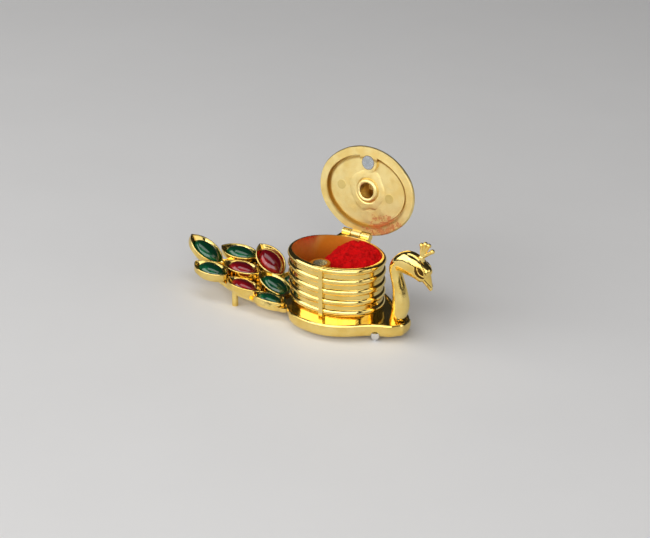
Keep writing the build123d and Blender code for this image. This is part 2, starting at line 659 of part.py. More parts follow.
def make_web():
    """Sloping web plate that carries the bezels."""
    side = [(TRAY_END_X, TRAY_END_HALF)]
    for row, out, wider in WEB_SIDE:
        side.append((TRAY_END_X - tail_out(row, out), STONE_WIDE + wider))
    tip = (TRAY_END_X - tail_out(WEB_SIDE[-1][0], WEB_TIP), 0)
    outline = Polygon(*side, tip, *[(x, -y) for x, y in reversed(side)], align=None)
    slab = Rot(0, TAIL_SLOPE, 0) * Pos(0, 0, -WEB_DROP - WEB_PLATE / 2) * Box(BEYOND, BEYOND, WEB_PLATE)
    start = Pos(TRAY_END_X - TAIL_START, 0, leaf_height(TAIL_START))
    return extrude(outline, BEYOND, dir=(0, 0, 1)) & (start * slab)


def leg_place(side):
    """Place of a tail leg on the table."""
    return TRAY_END_X - tail_out(1, LEG_OUT), side * (STONE_WIDE + LEG_ASIDE)


def leg_top():
    """Height of a leg's top, let into the web plate's underside."""
    thick = (WEB_DROP + WEB_PLATE) / math.cos(math.radians(TAIL_SLOPE))
    return leaf_height(tail_out(1, LEG_OUT)) - thick + LEG_SUNK


def make_tail_frame():
    """Tail casting: nine bezels on a sloping web plate, with a root hull fitted round the tray's tail end."""
    hull = []
    for up, back, out, wider in ROOT_HULL:
        outline = RectangleRounded(back + out, 2 * (STONE_WIDE + wider), ROOT_ROUND)
        hull.append((Pos(TRAY_END_X + (back - out) / 2, 0) * outline, TRAY_UNDERSIDE + up))
    frame = make_web() + stack(*hull)
    for name in LEAVES:
        frame += make_bezel(name)
    for name in LEAVES:
        frame -= make_flare(name)
    for name in BEADED:
        frame += make_bead(name)
    pocket = Pos(0, 0, -STONE_GIRDLE - STONE_ROOM) * leaf_face(STONE_ROOM)
    pocket = extrude(pocket, STONE_GIRDLE + STONE_DOME + CUT)
    for name in LEAVES:
        frame -= leaf_plane(name) * pocket
    for side in (-1, 1):
        x, y = leg_place(side)
        frame -= upright(LEG_R + PRESS, 0, leg_top(), x=x, y=y)
    return frame - extrude(tray_outline(-SOLDER_ROOM), TRAY_RIM, dir=(0, 0, 1))


def make_legs():
    """Two round posts under the tail, let into its underside."""
    return [upright(LEG_R, 0, leg_top(), *leg_place(side)) for side in (-1, 1)]


def make_powder():
    """Kumkum heap inside the cup, clear of the wall, the bosses and the closed lid."""
    heap = cup_cavity(HEAP_ROOM) & (Pos(HEAP_X, HEAP_Y, RIM - HEAP_TOP - HEAP_R) * Sphere(HEAP_R))
    ridge = Vector(RIDGE_FRONT[0] - RIDGE_BACK[0], RIDGE_FRONT[1] - RIDGE_BACK[1], 0).normalized()
    away = Vector(ridge.Y, -ridge.X, 0)
    slope = math.radians(HEAP_SLOPE)
    face = Plane(
        origin=(*RIDGE_BACK, RIM - RIDGE_DROP),
        x_dir=ridge,
        z_dir=away * math.sin(slope) + Vector(0, 0, math.cos(slope)),
    )
    heap -= face * Box(BEYOND, BEYOND, BEYOND, align=BOTTOM)
    heap -= magnet_boss(CUP_BOSS_TOP - CUP_BOSS_HEIGHT - HEAP_ROOM, RIM + CUT, -CUP_B, HEAP_ROOM)
    floor = TRAY_FLOOR + CUP_FLOOR
    boss_r = SCREW_R + CUP_SCREW_BOSS_WALL + HEAP_ROOM
    return heap - upright(boss_r, floor - CUT, floor + CUP_SCREW_BOSS + HEAP_ROOM)


def disc(bottom):
    """Disc magnet with its lower face at a height."""
    return upright(MAGNET_R, bottom, bottom + MAGNET_T, y=MAGNET_Y)


CUP_OVAL = oval_arcs(CUP_A, CUP_B, CUP_END_R)
LID_OVAL = oval_arcs(LID_A, LID_B, CUP_END_R + LID_OVER_ENDS)
pieces = {
    "base_tray": make_tray(),
    "cup": make_cup(),
    "cup_magnet": disc(CUP_BOSS_TOP - MAGNET_T + MAGNET_PROUD),
    "cup_screw": make_screw(0, SCREW_BITE),
    "kumkum_powder": make_powder(),
    "hinge_pin": along_x(PIN_R, lug_span(-1)[0], lug_span(1)[1], HINGE_Y, RIM),
    "lid": opened(make_lid_closed()),
    "lid_knob": opened(make_knob_closed()),
    "lid_magnet": opened(disc(LID_UNDER - MAGNET_PROUD / 2)),
    "neck_and_head": make_neck(),
    "neck_screw": make_screw(NECK_X, NECK_SCREW_BITE),
    "crest": make_crest(),
    "tail_frame": make_tail_frame(),
    "tail_legs": Compound(children=make_legs()),
    "front_feet": Compound(children=make_feet()),
}
for leaf in LEAVES:
    pieces[leaf] = make_stone(leaf)

box = Compound(children=[Compound(shape.solids()) for shape in pieces.values()]).bounding_box()
shift = Vector(-(box.min.X + box.max.X) / 2, -(box.min.Y + box.max.Y) / 2, -box.min.Z)
os.makedirs("parts", exist_ok=True)
for node, shape in pieces.items():
    export_step(Pos(*shift) * Compound(shape.solids()), f"parts/{node}.step")
print("shift", shift, "box", box.size)
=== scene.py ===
import json
import logging
import math
import random
from dataclasses import dataclass
from enum import Enum
from functools import partial
from typing import Sequence, Union

import bmesh
import bpy
from bmesh.types import BMesh
from bpy.types import Material, Node
from bpy.types import NodeSocket as Socket
from mathutils import Matrix, Vector, noise


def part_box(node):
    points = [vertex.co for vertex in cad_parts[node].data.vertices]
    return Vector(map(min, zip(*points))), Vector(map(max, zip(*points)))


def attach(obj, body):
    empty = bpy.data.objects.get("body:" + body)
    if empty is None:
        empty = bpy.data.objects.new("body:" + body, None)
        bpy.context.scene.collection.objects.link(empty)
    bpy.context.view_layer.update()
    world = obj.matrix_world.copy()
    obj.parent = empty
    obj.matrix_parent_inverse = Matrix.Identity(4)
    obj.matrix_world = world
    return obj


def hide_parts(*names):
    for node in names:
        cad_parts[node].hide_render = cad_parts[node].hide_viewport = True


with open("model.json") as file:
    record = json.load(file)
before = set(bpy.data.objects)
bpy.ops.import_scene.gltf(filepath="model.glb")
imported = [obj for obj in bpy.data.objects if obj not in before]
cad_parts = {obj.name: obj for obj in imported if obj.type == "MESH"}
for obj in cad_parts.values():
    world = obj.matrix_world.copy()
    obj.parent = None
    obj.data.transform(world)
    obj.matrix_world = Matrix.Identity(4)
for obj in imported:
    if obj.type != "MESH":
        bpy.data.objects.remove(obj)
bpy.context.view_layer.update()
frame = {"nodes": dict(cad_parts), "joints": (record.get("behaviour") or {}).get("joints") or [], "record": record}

MM = 0.001
LOG = logging.getLogger("kumkum_box")

Colour = tuple[float, float, float]
Point = tuple[float, float]
# What a node's input takes: a socket to link from, a number or a colour
Fed = Union[Socket, float, Colour]


class Body(str, Enum):
    """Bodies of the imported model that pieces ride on."""

    BASE = "base"
    LID = "lid"


class Slot(str, Enum):
    """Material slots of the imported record."""

    GOLD = "gold"
    CUP = "gold_cup"
    LID = "gold_lid"
    TAIL = "gold_tail"
    MAGNET = "magnet"
    NICKEL = "nickel"
    STEEL = "steel"
    GREEN = "green_glass"
    RUBY = "ruby_glass"
    KUMKUM = "kumkum"


def node_centre(node: str) -> Vector:
    """Middle of a CAD node's box, in metres."""
    low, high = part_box(node)
    return (low + high) / 2


CUP_AXIS = node_centre("cup_screw")
HINGE = Vector(frame["joints"][0]["pos_m"])
OPEN_ANGLE = math.radians(frame["joints"][0]["range_deg"][1])
RIM = HINGE.z


# Mesh helpers


def finished(mesh: BMesh, name: str, body: Body, material: Material) -> bpy.types.Object:
    """Turn a bmesh in millimetres into a smooth-shaded piece that rides on a body.

    Args:
        mesh: closed bmesh in millimetres, in the row frame; it is freed.
        name: the piece's name.
        body: the body that it moves with.
        material: its finish.

    Returns:
        The new object.
    """
    bmesh.ops.transform(mesh, matrix=Matrix.Scale(MM, 4), verts=mesh.verts)
    data = bpy.data.meshes.new(name)
    mesh.to_mesh(data)
    mesh.free()
    data.shade_smooth()
    data.materials.append(material)
    piece = bpy.data.objects.new(name, data)
    bpy.context.scene.collection.objects.link(piece)
    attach(piece, body.value)
    LOG.info("piece %s: %d faces", name, len(data.polygons))
    return piece


def merged(mesh: BMesh, gap: float = 0.001) -> None:
    """Make one vertex of those that lie within a gap in millimetres."""
    bmesh.ops.remove_doubles(mesh, verts=mesh.verts, dist=gap)


def closed(mesh: BMesh) -> None:
    """Merge doubles and point all faces outwards."""
    merged(mesh)
    bmesh.ops.recalc_face_normals(mesh, faces=mesh.faces)


def skirted(mesh: BMesh) -> list[bmesh.types.BMVert]:
    """Extrude the open edge of a mesh into a skirt.

    Args:
        mesh: the bmesh.

    Returns:
        The skirt's new vertices, which still lie on the edge.
    """
    rim = [edge for edge in mesh.edges if edge.is_boundary]
    skirt = bmesh.ops.extrude_edge_only(mesh, edges=rim)["geom"]
    return [vert for vert in skirt if isinstance(vert, bmesh.types.BMVert)]


def filled(mesh: BMesh) -> None:
    """Close the open edge of a mesh with one face."""
    bmesh.ops.holes_fill(mesh, edges=[edge for edge in mesh.edges if edge.is_boundary], sides=0)


def moved_to_cup(mesh: BMesh) -> None:
    """Move a mesh that is measured from the cup's axis to its place in the row frame."""
    bmesh.ops.translate(mesh, verts=mesh.verts, vec=(CUP_AXIS.x / MM, CUP_AXIS.y / MM, 0.0))


def tube(mesh: BMesh, path: Sequence[Vector], radius: float, sides: int = 8, loop: bool = True) -> None:
    """Add a round tube along a path.

    Args:
        mesh: the bmesh that it is added to.
        path: points of the path in order.
        radius: the tube's radius.
        sides: sides of its section.
        loop: whether the last point joins the first; if not, both ends are capped.
    """
    last = len(path) - 1
    loops = []
    for place, here in enumerate(path):
        before = path[place - 1] if loop or place > 0 else here
        after = path[(place + 1) % len(path)] if loop or place < last else here
        turn = (after - before).to_track_quat("Z", "Y").to_matrix().to_4x4()
        ring = bmesh.ops.create_circle(
            mesh,
            cap_ends=not loop and place in (0, last),
            segments=sides,
            radius=radius,
            matrix=Matrix.Translation(here) @ turn,
        )["verts"]
        loops.append(list({edge for vert in ring for edge in vert.link_edges}))
    pairs = list(zip(loops, loops[1:]))
    if loop:
        pairs.append((loops[-1], loops[0]))
    for first, second in pairs:
        bmesh.ops.bridge_loops(mesh, edges=first + second)


@dataclass(frozen=True)
class Relief:
    """Fractal relief of an uneven surface; a larger pitch makes smaller lumps."""

    rise: float
    pitch: float
    falloff: float
    gap: float
    octaves: int

    def at(self, place: Vector) -> float:
        """Height of the relief at a place."""
        basis = "PERLIN_ORIGINAL"
        return self.rise * noise.fractal(
            place * self.pitch, self.falloff, self.gap, self.octaves, noise_basis=basis
        )


# Node helpers


class Wiring:
    """Adds, sets and links the nodes of one material or node group."""

    # Places of the share and the two colours among a Mix node's inputs, and of the colour among its outputs
    MIX_INPUTS = (0, 6, 7)
    MIX_RESULT = 2

    def __init__(self, tree: bpy.types.NodeTree) -> None:
        """Start wiring in a tree."""
        self.tree = tree

    def add(self, kind: str, **settings: object) -> Node:
        """Add a node and set its properties.

        Args:
            kind: the node's type name.
            settings: property values, such as operation.

        Returns:
            The node.
        """
        node = self.tree.nodes.new(kind)
        for key, value in settings.items():
            setattr(node, key, value)
        return node

    def put(self, socket: Socket, value: Fed) -> None:
        """Link an input from a socket, or set it to a plain value.

        Args:
            socket: the input.
            value: a socket to link from, a number or a colour.
        """
        if isinstance(value, Socket):
            self.tree.links.new(value, socket)
        else:
            socket.default_value = (*value, 1.0) if isinstance(value, tuple) else value

    def feed(self, node: Node, **inputs: Fed) -> Node:
        """Set or link inputs of a node; underscores stand for spaces in socket names.

        Args:
            node: the node whose inputs are fed.
            inputs: what each input takes, by its name.

        Returns:
            The same node.
        """
        for key, value in inputs.items():
            self.put(node.inputs[key.replace("_", " ")], value)
        return node

    def math(self, operation: str, first: Fed, second: Fed = 0.0, clamp: bool = False) -> Socket:
        """Calculate with two values.

        Args:
            operation: name of the Math node's operation.
            first: socket or number.
            second: socket or number.
            clamp: whether the result is kept from 0 to 1.

        Returns:
            The result's socket.
        """
        node = self.add("ShaderNodeMath", operation=operation, use_clamp=clamp)
        for socket, value in zip(node.inputs, (first, second)):
            self.put(socket, value)
        return node.outputs[0]

    def spread(self, value: Fed, low: Fed, high: Fed, to_low: float = 0.0, to_high: float = 1.0) -> Socket:
        """Map a value smoothly from one range to another.

        Args:
            value: socket or number.
            low: value that gives to_low.
            high: value that gives to_high.
            to_low: result at and before low.
            to_high: result at and past high.

        Returns:
            The result's socket.
        """
        node = self.add("ShaderNodeMapRange", interpolation_type="SMOOTHSTEP")
        self.feed(node, Value=value, From_Min=low, From_Max=high, To_Min=to_low, To_Max=to_high)
        return node.outputs[0]

    def mix(self, share: Fed, first: Fed, second: Fed) -> Socket:
        """Mix two colours.

        Args:
            share: share of the second colour.
            first: socket or colour.
            second: socket or colour.

        Returns:
            The mixed colour's socket.
        """
        node = self.add("ShaderNodeMix", data_type="RGBA")
        for place, value in zip(self.MIX_INPUTS, (share, first, second)):
            self.put(node.inputs[place], value)
        return node.outputs[self.MIX_RESULT]

    def place(self) -> Socket:
        """Object coordinates of the surface."""
        return self.add("ShaderNodeTexCoord").outputs["Object"]

    def cloud(self, place: Socket, size: float, detail: float, rough: float = 0.55) -> Socket:
        """Lay noise over a surface.

        Args:
            place: socket of the coordinates.
            size: about how large its features are, in millimetres.
            detail: finer layers on top.
            rough: strength of those layers.

        Returns:
            The noise's socket.
        """
        node = self.add("ShaderNodeTexNoise")
        self.feed(node, Vector=place, Scale=1 / (size * MM), Detail=detail, Roughness=rough)
        return node.outputs[0]

    def axes(self, place: Socket, centre: Vector) -> bpy.types.NodeOutputs:
        """Split coordinates from a centre.

        Args:
            place: socket of the coordinates.
            centre: the centre, in metres.

        Returns:
            The sockets X, Y and Z, in metres.
        """
        moved = self.add("ShaderNodeVectorMath", operation="SUBTRACT")
        self.tree.links.new(place, moved.inputs[0])
        moved.inputs[1].default_value = centre
        return self.feed(self.add("ShaderNodeSeparateXYZ"), Vector=moved.outputs[0]).outputs

    def oval(self, place: Socket, centre: Vector, **halves: float) -> Socket:
        """Measure how far out a place lies in an oval.

        Args:
            place: socket of the coordinates.
            centre: the oval's middle, in metres.
            halves: its two half sizes in millimetres, by axis.

        Returns:
            The squared distance's socket: 0 in the middle, 1 on the edge.
        """
        ways = self.axes(place, centre)
        squares = []
        for axis, half in halves.items():
            share = self.math("DIVIDE", ways[axis], half * MM)
            squares.append(self.math("MULTIPLY", share, share))
        return self.math("ADD", *squares)

    def bump(self, height: Socket, distance: float) -> Socket:
        """Normal bent by a height that stands for a distance in millimetres."""
        return self.feed(self.add("ShaderNodeBump"), Height=height, Distance=distance * MM).outputs[0]


def new_group(
    name: str, inputs: Sequence[tuple[str, float]], outputs: Sequence[str]
) -> tuple[Wiring, Node, Node]:
    """Start a shader node group with float sockets.

    Args:
        name: the group's name.
        inputs: each input's name and first value.
        outputs: the outputs' names.

    Returns:
        The wiring, the group's input node and its output node.
    """
    tree = bpy.data.node_groups.new(name, "ShaderNodeTree")
    for label, value in inputs:
        tree.interface.new_socket(label, in_out="INPUT", socket_type="NodeSocketFloat").default_value = value
    for label in outputs:
        tree.interface.new_socket(label, in_out="OUTPUT", socket_type="NodeSocketFloat")
    wiring = Wiring(tree)
    return wiring, wiring.add("NodeGroupInput"), wiring.add("NodeGroupOutput")


class Groups:
    """Shared surface effects, each built once; sizes are in millimetres."""

    RIPPLE_SIZE = 3.2
    GRAIN_SIZE = 0.35
    CLOUD_SIZE = 6.0
    CLOUD_RANGE = (0.35, 0.7)
    POLISH_SIZE = 1.3
    POLISH_RANGE = (0.3, 0.75)
    SMEAR_SIZE = 2.2
    SPECK_SIZE = 0.5
    SPECK_SHARE = 0.6
    DUST_EDGE = 0.1

    _made: dict[str, bpy.types.NodeTree] = {}

    @classmethod
    def cast_metal(cls) -> bpy.types.NodeTree:
        """Uneven polish of a plated casting.

        Returns:
            A group with Height for bump, Cloud for colour and Polish for roughness.
        """
        if "cast_metal" not in cls._made:
            wiring, start, end = new_group(
                "cast_metal", [("Ripple", 0.7), ("Grain", 0.3)], ["Height", "Cloud", "Polish"]
            )
            place = wiring.place()
            ripple = wiring.cloud(place, cls.RIPPLE_SIZE, detail=1.0)
            grain = wiring.cloud(place, cls.GRAIN_SIZE, detail=3.0)
            cloud = wiring.cloud(place, cls.CLOUD_SIZE, detail=3.0)
            polish = wiring.cloud(place, cls.POLISH_SIZE, detail=4.0)
            tall = wiring.math("MULTIPLY", ripple, start.outputs["Ripple"])
            fine = wiring.math("MULTIPLY", grain, start.outputs["Grain"])
            wiring.feed(
                end,
                Height=wiring.math("ADD", tall, fine),
                Cloud=wiring.spread(cloud, *cls.CLOUD_RANGE),
                Polish=wiring.spread(polish, *cls.POLISH_RANGE),
            )
            cls._made["cast_metal"] = wiring.tree
        return cls._made["cast_metal"]

    @classmethod
    def powder_dust(cls) -> bpy.types.NodeTree:
        """Specks and smears of powder.

        Returns:
            A group with Mask, which is 1 where powder clings.
        """
        if "powder_dust" not in cls._made:
            wiring, start, end = new_group("powder_dust", [("Amount", 0.5)], ["Mask"])
            place = wiring.place()
            smear = wiring.cloud(place, cls.SMEAR_SIZE, detail=4.0)
            speck = wiring.cloud(place, cls.SPECK_SIZE, detail=2.0)
            both = wiring.math("ADD", smear, wiring.math("MULTIPLY", speck, cls.SPECK_SHARE))
            cover = wiring.math("MULTIPLY", both, 1 / (1 + cls.SPECK_SHARE))
            limit = wiring.math("SUBTRACT", 1.0, start.outputs["Amount"])
            full = wiring.math("ADD", limit, cls.DUST_EDGE)
            wiring.feed(end, Mask=wiring.spread(cover, limit, full))
            cls._made["powder_dust"] = wiring.tree
        return cls._made["powder_dust"]


def new_material(name: str) -> tuple[Material, Wiring, Node]:
    """Start a material.

    Args:
        name: the material's name.

    Returns:
        The material, its wiring and its Principled shader.
    """
    material = bpy.data.materials.new(name)
    material.use_nodes = True
    return material, Wiring(material.node_tree), material.node_tree.nodes["Principled BSDF"]


# Finishes


@dataclass(frozen=True)
class GoldFinish:
    """Gold-plated casting with an uneven polish."""

    name: str
    light: Colour = (0.93, 0.71, 0.24)
    deep: Colour = (0.86, 0.60, 0.15)
    polish: Point = (0.07, 0.17)
    ripple: float = 0.8
    grain: float = 0.12
    relief: float = 0.10

    def surface(self, wiring: Wiring, shader: Node) -> tuple[Socket, Socket]:
        """Wire the shared casting effect into a shader.

        Args:
            wiring: the material's wiring.
            shader: its Principled shader.

        Returns:
            The sockets of the colour and the roughness, for finishes that go on from there.
        """
        cast = wiring.add("ShaderNodeGroup", node_tree=Groups.cast_metal())
        wiring.feed(cast, Ripple=self.ripple, Grain=self.grain)
        colour = wiring.mix(cast.outputs["Cloud"], self.light, self.deep)
        rough = wiring.spread(cast.outputs["Polish"], 0.0, 1.0, *self.polish)
        normal = wiring.bump(cast.outputs["Height"], self.relief)
        wiring.feed(shader, Base_Color=colour, Metallic=1.0, Roughness=rough, Normal=normal)
        return colour, rough

    def make(self) -> Material:
        """Build the material.

        Returns:
            The material.
        """
        material, wiring, shader = new_material(self.name)
        self.surface(wiring, shader)
        return material


@dataclass(frozen=True)
class CupFinish(GoldFinish):
    """Gold plate: polished outside; inside the cup rougher, with orange painted shade and painted powder
    reflection.
    """

    # inner is painted shade and painted reflection of the red powder on the gold inside the cup
    inner: Colour = (0.66, 0.24, 0.012)
    inner_metal: float = 0.65
    stain: Colour = (0.62, 0.14, 0.015)
    half_long: float = 17.5
    half_wide: float = 13.5
    edge: Point = (0.96, 1.01)
    dull: float = 0.6
    soil: float = 0.08

    def make(self) -> Material:
        """Build the material; the inside is told by the distance from the cup's axis.

        Returns:
            The material.
        """
        material, wiring, shader = new_material(self.name)
        outer, polish = self.surface(wiring, shader)
        away = wiring.oval(wiring.place(), CUP_AXIS, X=self.half_long, Y=self.half_wide)
        inside = wiring.spread(away, *self.edge, 1.0, 0.0)
        dust = wiring.add("ShaderNodeGroup", node_tree=Groups.powder_dust())
        wiring.feed(dust, Amount=self.soil)
        # The painted shade of the inside, mixed with real powder dust
        inner_shade_and_dust = wiring.mix(dust.outputs["Mask"], self.inner, self.stain)
        wiring.feed(
            shader,
            Base_Color=wiring.mix(inside, outer, inner_shade_and_dust),
            Roughness=wiring.math("ADD", polish, wiring.math("MULTIPLY", inside, self.dull)),
            Metallic=wiring.spread(inside, 0.0, 1.0, 1.0, self.inner_metal),
        )
        return material


@dataclass(frozen=True)
class LidFinish(GoldFinish):
    """Matte cast gold: on the underside powder stains by the hinge, painted shade in the groove and in the bore.

    Lengths are in millimetres on the open lid. The stain's place is measured from the hinge over the cup's
    axis, and the bore's mouth and end from the middle of the knob.
    """

    stain: Colour = (0.60, 0.12, 0.025)
    stain_at: Vector = Vector((9.5, 0.0, 4.0))
    stain_reach: float = 13.0
    stain_high: float = 8.0
    stain_cover: Point = (0.58, 0.34)
    stain_share: float = 0.75
    stain_metal: float = 0.5
    # Painted shade in the groove round the underside
    groove_shade: Colour = (0.42, 0.24, 0.05)
    groove_shade_share: float = 0.8
    groove_long: float = 16.5
    groove_wide: float = 12.9
    groove_half: float = 0.07
    skin: float = 1.85
    # Painted shade inside the knob's bore
    bore: Colour = (0.26, 0.13, 0.02)
    bore_radius: float = 3.4
    bore_edge: Point = (0.95, 1.0)
    bore_mouth: float = -4.0
    bore_end: float = 1.6

    def underside(self, wiring: Wiring, place: Socket) -> Socket:
        """Tell the underside from the outer face by the distance off the lid's own plane.

        Args:
            wiring: the material's wiring.
            place: socket of the coordinates.

        Returns:
            The mask's socket.
        """
        _, back, up = wiring.axes(place, HINGE)
        behind = wiring.math(
            "ADD",
            wiring.math("MULTIPLY", back, math.sin(OPEN_ANGLE)),
            wiring.math("MULTIPLY", up, math.cos(OPEN_ANGLE)),
        )
        return wiring.math("LESS_THAN", behind, self.skin * MM)

    def stains(self, wiring: Wiring, place: Socket) -> Socket:
        """Break an oval patch by the hinge up into smears of powder.

        Args:
            wiring: the material's wiring.
            place: socket of the coordinates.

        Returns:
            The mask's socket.
        """
        middle = Vector((CUP_AXIS.x, HINGE.y, RIM)) + self.stain_at * MM
        away = wiring.oval(place, middle, X=self.stain_reach, Z=self.stain_high)
        dust = wiring.add("ShaderNodeGroup", node_tree=Groups.powder_dust())
        wiring.feed(dust, Amount=wiring.spread(away, 0.0, 1.0, *self.stain_cover))
        return dust.outputs["Mask"]

    def groove(self, wiring: Wiring, place: Socket) -> Socket:
        """Mark the oval groove round the underside, where shade is painted.

        Args:
            wiring: the material's wiring.
            place: socket of the coordinates.

        Returns:
            The mask's socket.
        """
        high = self.groove_wide * math.sin(OPEN_ANGLE)
        away = wiring.math("SQRT", wiring.oval(place, node_centre("lid_knob"), X=self.groove_long, Z=high))
        off = wiring.math("ABSOLUTE", wiring.math("SUBTRACT", away, 1.0))
        return wiring.spread(off, 0.0, self.groove_half, self.groove_shade_share, 0.0)

    def bored(self, wiring: Wiring, place: Socket) -> Socket:
        """Mark the painted shade inside the knob's bore, stronger with its depth.

        Args:
            wiring: the material's wiring.
            place: socket of the coordinates.

        Returns:
            The mask's socket.
        """
        middle = node_centre("lid_knob")
        near = wiring.oval(place, middle, X=self.bore_radius, Z=self.bore_radius)
        depth = wiring.axes(place, middle)["Y"]
        inside = wiring.math(
            "MULTIPLY",
            wiring.spread(near, *self.bore_edge, 1.0, 0.0),
            wiring.math("LESS_THAN", depth, self.bore_end * MM),
        )
        return wiring.math("MULTIPLY", inside, wiring.spread(depth, self.bore_mouth * MM, 0.0))

    def make(self) -> Material:
        """Build the material: painted shade in the groove and in the bore, then the stains over both.

        Returns:
            The material.
        """
        material, wiring, shader = new_material(self.name)
        gold, _ = self.surface(wiring, shader)
        place = wiring.place()
        under = self.underside(wiring, place)
        # Painted shade in the groove
        gold = wiring.mix(wiring.math("MULTIPLY", under, self.groove(wiring, place)), gold, self.groove_shade)
        # Painted shade in the bore, darker further in
        gold = wiring.mix(self.bored(wiring, place), gold, self.bore)
        share = wiring.math("MULTIPLY", under, self.stain_share)
        mask = wiring.math("MULTIPLY", self.stains(wiring, place), share)
        wiring.feed(
            shader,
            Base_Color=wiring.mix(mask, gold, self.stain),
            Metallic=wiring.spread(mask, 0.0, 1.0, 1.0, self.stain_metal),
        )
        return material


@dataclass(frozen=True)
class MetalFinish:
    """Plain bright metal such as nickel plate or steel."""

    name: str
    colour: Colour
    dull: Colour
    polish: Point
    ripple: float = 0.4
    grain: float = 0.4
    relief: float = 0.03

    def make(self) -> Material:
        """Build the material.

        Returns:
            The material.
        """
        material, wiring, shader = new_material(self.name)
        cast = wiring.add("ShaderNodeGroup", node_tree=Groups.cast_metal())
        wiring.feed(cast, Ripple=self.ripple, Grain=self.grain)
        wiring.feed(
            shader,
            Base_Color=wiring.mix(cast.outputs["Polish"], self.colour, self.dull),
            Metallic=1.0,
            Roughness=wiring.spread(cast.outputs["Polish"], 0.0, 1.0, *self.polish),
            Normal=wiring.bump(cast.outputs["Height"], self.relief),
        )
        return material


@dataclass(frozen=True)
class StoneFinish:
    """Foil-backed glass cabochon: deep in the middle; its brighter thin edge is paler glass and painted light
    through it.
    """

    name: str
    deep: Colour
    bright: Colour
    thin_range: Point = (0.35, 1.0)
    cloud_size: float = 2.4
    cloud_range: Point = (0.2, 0.7)
    polish_range: Point = (0.3, 0.7)
    polish: Point = (0.10, 0.22)
    coat: float = 0.8
    coat_polish: float = 0.05
    refraction: float = 1.5
    relief: float = 0.05

    def make(self) -> Material:
        """Build the material; the mesh attribute thin runs from the middle to the edge.

        Returns:
            The material.
        """
        material, wiring, shader = new_material(self.name)
        thin = wiring.add("ShaderNodeAttribute", attribute_name="thin").outputs["Fac"]
        cloud = wiring.cloud(wiring.place(), self.cloud_size, detail=3.0)
        # The brighter edge is partly the paler tint of thin glass, partly painted light passing through it
        edge = wiring.spread(thin, *self.thin_range)
        share = wiring.math("MULTIPLY", edge, wiring.spread(cloud, *self.cloud_range), clamp=True)
        wiring.feed(
            shader,
            Base_Color=wiring.mix(share, self.deep, self.bright),
            Roughness=wiring.spread(cloud, *self.polish_range, *self.polish),
            Coat_Weight=self.coat,
            Coat_Roughness=self.coat_polish,
            IOR=self.refraction,
            Normal=wiring.bump(cloud, self.relief),
        )
        return material


@dataclass(frozen=True)
class PowderFinish:
    """Loose kumkum powder: saturated matte red with darker hollows."""

    name: str
    bright: Colour = (0.64, 0.001, 0.002)
    dark: Colour = (0.44, 0.0, 0.001)
    lump_size: float = 2.6
    lump_range: Point = (0.35, 0.65)
    grain_size: float = 0.2
    grain_range: Point = (0.2, 0.8)
    rough: Point = (0.85, 1.0)
    gloss: float = 0.15
    relief: float = 0.06

    def make(self) -> Material:
        """Build the material.

        Returns:
            The material.
        """
        material, wiring, shader = new_material(self.name)
        place = wiring.place()
        lump = wiring.cloud(place, self.lump_size, detail=4.0)
        fine = wiring.cloud(place, self.grain_size, detail=3.0)
        wiring.feed(
            shader,
            Base_Color=wiring.mix(wiring.spread(lump, *self.lump_range), self.dark, self.bright),
            Roughness=wiring.spread(fine, *self.grain_range, *self.rough),
            Specular_IOR_Level=self.gloss,
            Normal=wiring.bump(fine, self.relief),
        )
        return material


# Sub-assemblies


@dataclass(frozen=True)
class LeafSeat:
    """Seat of one tail leaf, read from its CAD stone, in millimetres.

    The origin is the middle of the stone's flat back, outward runs to its tip, across to its left edge and
    face out of the dome.
    """

    origin: Vector
    outward: Vector
    across: Vector
    face: Vector
    long: float
    wide: float
    deep: float

    @classmethod
    def of(cls, node: str, digits: int = 2, flatness: float = 0.01) -> "LeafSeat":
        """Read the seat from the stone's flat back and its two tips.

        Args:
            node: the stone's CAD node.
            digits: digits to which normals of the flat back agree.
            flatness: height within which a point is on the flat back.

        Returns:
            The seat.
        """
        mesh = frame["nodes"][node].data
        areas: dict[tuple[float, ...], float] = {}
        normals: dict[tuple[float, ...], Vector] = {}
        for polygon in mesh.polygons:
            key = tuple(round(x, digits) for x in polygon.normal)
            areas[key] = areas.get(key, 0.0) + polygon.area
            normals.setdefault(key, polygon.normal.copy())
        face = -normals[max(areas, key=areas.get)]
        points = [v.co / MM for v in mesh.vertices]
        low = min(p.dot(face) for p in points)
        flat = [p for p in points if p.dot(face) - low < flatness]

        def farthest(start: Vector) -> Vector:
            """Point of the flat back that lies farthest from a point."""
            return max(flat, key=lambda p: (p - start).length)

        tip = farthest(farthest(min(flat, key=lambda p: p.x)))
        root = farthest(tip)
        outward = (tip - root).normalized()
        across = face.cross(outward)
        spread = [p.dot(across) for p in flat]
        return cls(
            origin=(tip + root) / 2,
            outward=outward,
            across=across,
            face=face,
            long=(tip - root).length,
            wide=max(spread) - min(spread),
            deep=max(p.dot(face) for p in points) - low,
        )

    def matrix(self) -> Matrix:
        """Matrix from the seat's own frame to the row frame."""
        turned = Matrix((self.outward, self.across, self.face)).transposed().to_4x4()
        return Matrix.Translation(self.origin) @ turned


def leaf_half(x: float, ahead: float, behind: float, half: float) -> float:
    """Half width of a leaf outline of two arcs at a place along it.

    Args:
        x: place along the leaf, positive to the tip.
        ahead: length from the middle to the tip.
        behind: length from the middle to the root.
        half: half width at the middle.

    Returns:
        Half the width there.
    """
    middle = (ahead - behind) / 2
    reach = (ahead + behind) / 2
    drop = (middle**2 + half**2 - reach**2) / (2 * half)
    radius = math.hypot(reach, drop)
    return max(0.0, drop + math.sqrt(max(0.0, radius**2 - (x - middle) ** 2)))


